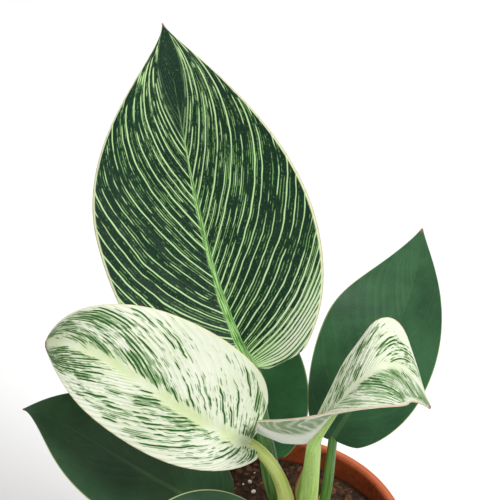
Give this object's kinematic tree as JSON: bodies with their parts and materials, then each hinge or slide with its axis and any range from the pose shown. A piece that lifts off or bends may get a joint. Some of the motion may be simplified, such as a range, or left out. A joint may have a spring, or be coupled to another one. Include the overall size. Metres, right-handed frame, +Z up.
{
  "type": "potted philodendron birkin",
  "caption": "Small foliage plant with pinstriped, cream and plain green pointed leaves on upright stalks, rooted in potting mix in a round terracotta-coloured plastic nursery pot.",
  "frame": {"origin": "centre of the pot's flat base, on the surface that it stands on", "axes": "+Z up; -Y towards the side that the cream leaves lean to, as pictured; +X to the right of that view"},
  "size_m": [0.1464, 0.1621, 0.2666],
  "materials": {
    "pot_plastic": "satin",
    "potting_mix": "rough, damp bark and fibre",
    "stem": "satin",
    "leaf_striped": "waxy satin",
    "leaf_cream": "waxy satin",
    "leaf_green": "waxy satin",
    "sheath": "satin",
    "dry_sheath": "dry, matt"
  },
  "bodies": {
    "root": {"pot": "pot_plastic", "soil": "potting_mix", "stem": "stem", "leaf_upright": "leaf_striped", "leaf_cream_front": "leaf_cream", "leaf_cream_folded": "leaf_cream", "leaf_green_right": "leaf_green", "leaf_green_back": "leaf_green", "leaf_green_left": "leaf_green", "leaf_green_front": "leaf_green", "new_leaf_sheath": "sheath", "dry_sheath": "dry_sheath"}
  },
  "joints": []
}
